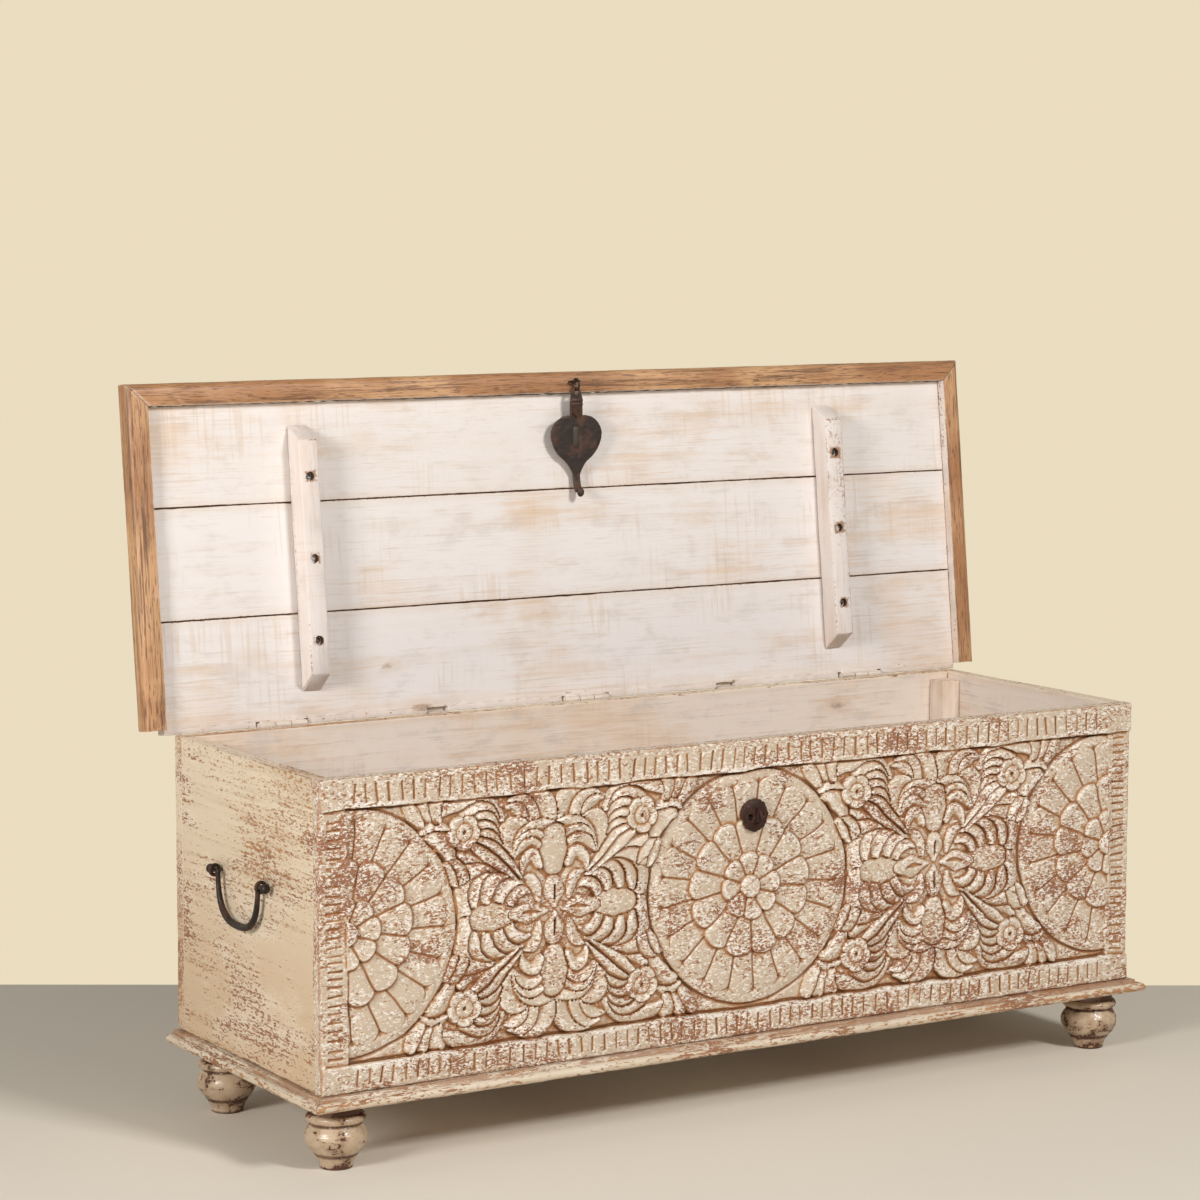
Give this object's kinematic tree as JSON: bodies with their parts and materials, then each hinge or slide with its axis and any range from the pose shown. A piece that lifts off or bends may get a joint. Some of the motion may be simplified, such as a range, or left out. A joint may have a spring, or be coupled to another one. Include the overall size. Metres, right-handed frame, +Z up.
{
  "type": "storage chest",
  "caption": "Long carved wooden storage chest on turned feet, with a hinged plank lid, a forged heart-shaped hasp and a drop handle on each end.",
  "frame": {"origin": "on the floor under the middle of the box that holds the whole chest with its lid open", "axes": "+X along the chest to the viewer's right, the carved front faces -Y, +Z up"},
  "size_m": [1.2, 0.4574, 0.8433],
  "materials": {
    "carved_paint": "worn greige-cream paint over carved wood, brown in the grooves",
    "cream_paint": "worn ivory paint with brown rub-through along the grain",
    "whitewashed_wood": "thin whitewash over sawn boards",
    "brown_wood": "oiled warm brown wood",
    "forged_iron": "blackened forged iron with light rust",
    "screw_steel": "dull steel screws"
  },
  "bodies": {
    "chest": {"back_left_foot": "cream_paint", "back_left_post": "whitewashed_wood", "back_panel": "cream_paint", "back_right_foot": "cream_paint", "back_right_post": "whitewashed_wood", "base_back_rail": "cream_paint", "base_front_moulding": "cream_paint", "base_left_moulding": "cream_paint", "base_right_moulding": "cream_paint", "bottom_bearer_left": "whitewashed_wood", "bottom_bearer_right": "whitewashed_wood", "bottom_plank_back": "whitewashed_wood", "bottom_plank_front": "whitewashed_wood", "bottom_plank_middle": "whitewashed_wood", "front_left_foot": "cream_paint", "front_left_post": "whitewashed_wood", "front_panel": "carved_paint", "front_right_foot": "cream_paint", "front_right_post": "whitewashed_wood", "hinge_pins": "forged_iron", "hinge_wall_leaves": "forged_iron", "hinge_wall_screws": "screw_steel", "left_end_panel": "cream_paint", "left_handle_eyes": "forged_iron", "lid_stop_screws": "screw_steel", "lid_stops": "forged_iron", "lock_boss": "forged_iron", "lock_staple": "forged_iron", "right_end_panel": "cream_paint", "right_handle_eyes": "forged_iron"},
    "lid": {"batten_screws": "screw_steel", "hasp_staple": "forged_iron", "hinge_lid_leaves": "forged_iron", "hinge_lid_screws": "screw_steel", "left_batten": "whitewashed_wood", "lid_front_moulding": "brown_wood", "lid_left_moulding": "brown_wood", "lid_plank_back": "whitewashed_wood", "lid_plank_front": "whitewashed_wood", "lid_plank_middle": "whitewashed_wood", "lid_right_moulding": "brown_wood", "right_batten": "whitewashed_wood"},
    "hasp_ring": {"hasp_ring": "forged_iron"},
    "hasp": {"hasp": "forged_iron"},
    "left_handle": {"left_bail": "forged_iron"},
    "right_handle": {"right_bail": "forged_iron"}
  },
  "joints": [
    {"name": "lid_hinge", "type": "hinge", "parent": "chest", "child": "lid", "pos_m": [0, 0.16633, 0.4375], "axis": [1, 0, 0], "range_deg": [0, 96.4]},
    {"name": "hasp_ring_swing", "type": "hinge", "parent": "lid", "child": "hasp_ring", "pos_m": [0, 0.18943, 0.83188], "axis": [1, 0, 0], "range_deg": [-104, 1]},
    {"name": "hasp_swing", "type": "hinge", "parent": "hasp_ring", "child": "hasp", "pos_m": [0, 0.18943, 0.82763], "axis": [1, 0, 0], "range_deg": [-95, 3]},
    {"name": "left_handle_swing", "type": "hinge", "parent": "chest", "child": "left_handle", "pos_m": [-0.572, -0.02557, 0.3], "axis": [0, 1, 0], "range_deg": [0, 170]},
    {"name": "right_handle_swing", "type": "hinge", "parent": "chest", "child": "right_handle", "pos_m": [0.572, -0.02557, 0.3], "axis": [0, -1, 0], "range_deg": [0, 170]}
  ],
  "couplings": [
    {"joint": "hasp_ring_swing", "follows": "lid_hinge", "ratio": -1.027}
  ]
}
